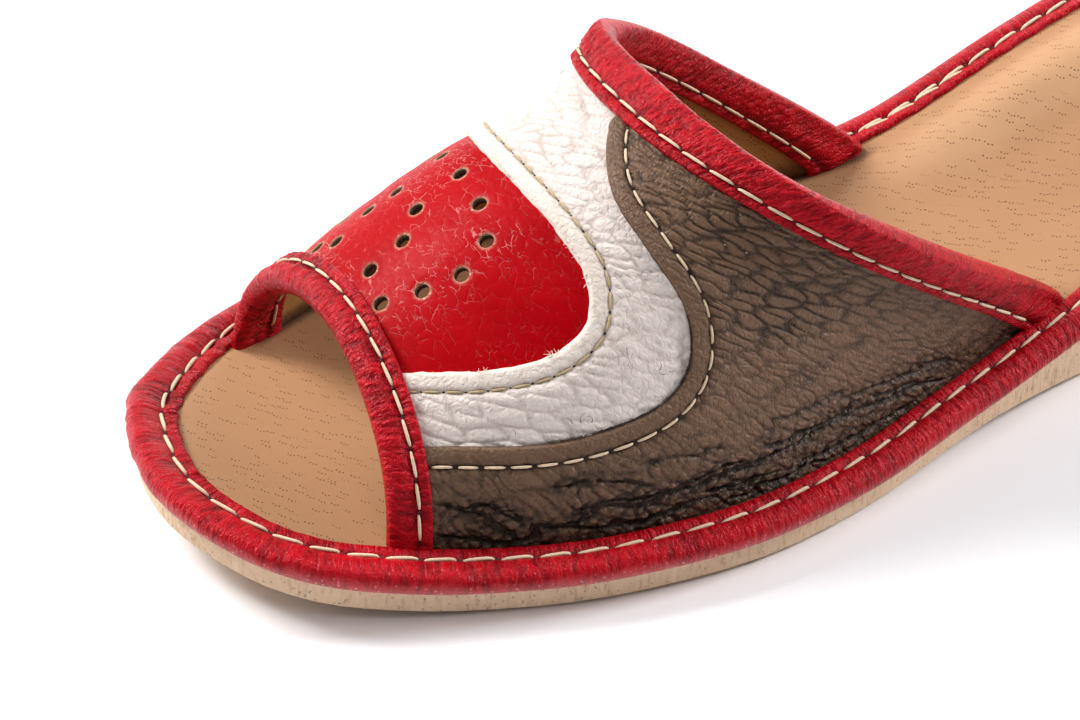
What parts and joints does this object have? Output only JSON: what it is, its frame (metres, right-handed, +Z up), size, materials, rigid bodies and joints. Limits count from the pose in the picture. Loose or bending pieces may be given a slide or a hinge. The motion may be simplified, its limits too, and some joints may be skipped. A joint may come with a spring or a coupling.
{
  "type": "slipper",
  "caption": "Open-toed, backless leather slipper: an arched vamp in layered panels with bound edges on a rimmed insole and a low wedge sole.",
  "frame": {"origin": "on the floor, under the middle of the shoe's bounding box", "axes": "+Y from toe to heel, +X to the lateral (outer) side of the left foot, +Z up"},
  "size_m": [0.094, 0.2576, 0.056],
  "materials": {
    "foam_sole": "matte porous foam",
    "pigskin": "matte split pigskin with pores",
    "red_leather": "satin, finely wrinkled",
    "vamp_leather": "pebbled, satin"
  },
  "bodies": {
    "root": {"outsole": "foam_sole", "insole": "pigskin", "rim_binding": "red_leather", "upper": "vamp_leather", "front_binding": "red_leather", "throat_binding": "red_leather"}
  },
  "joints": []
}
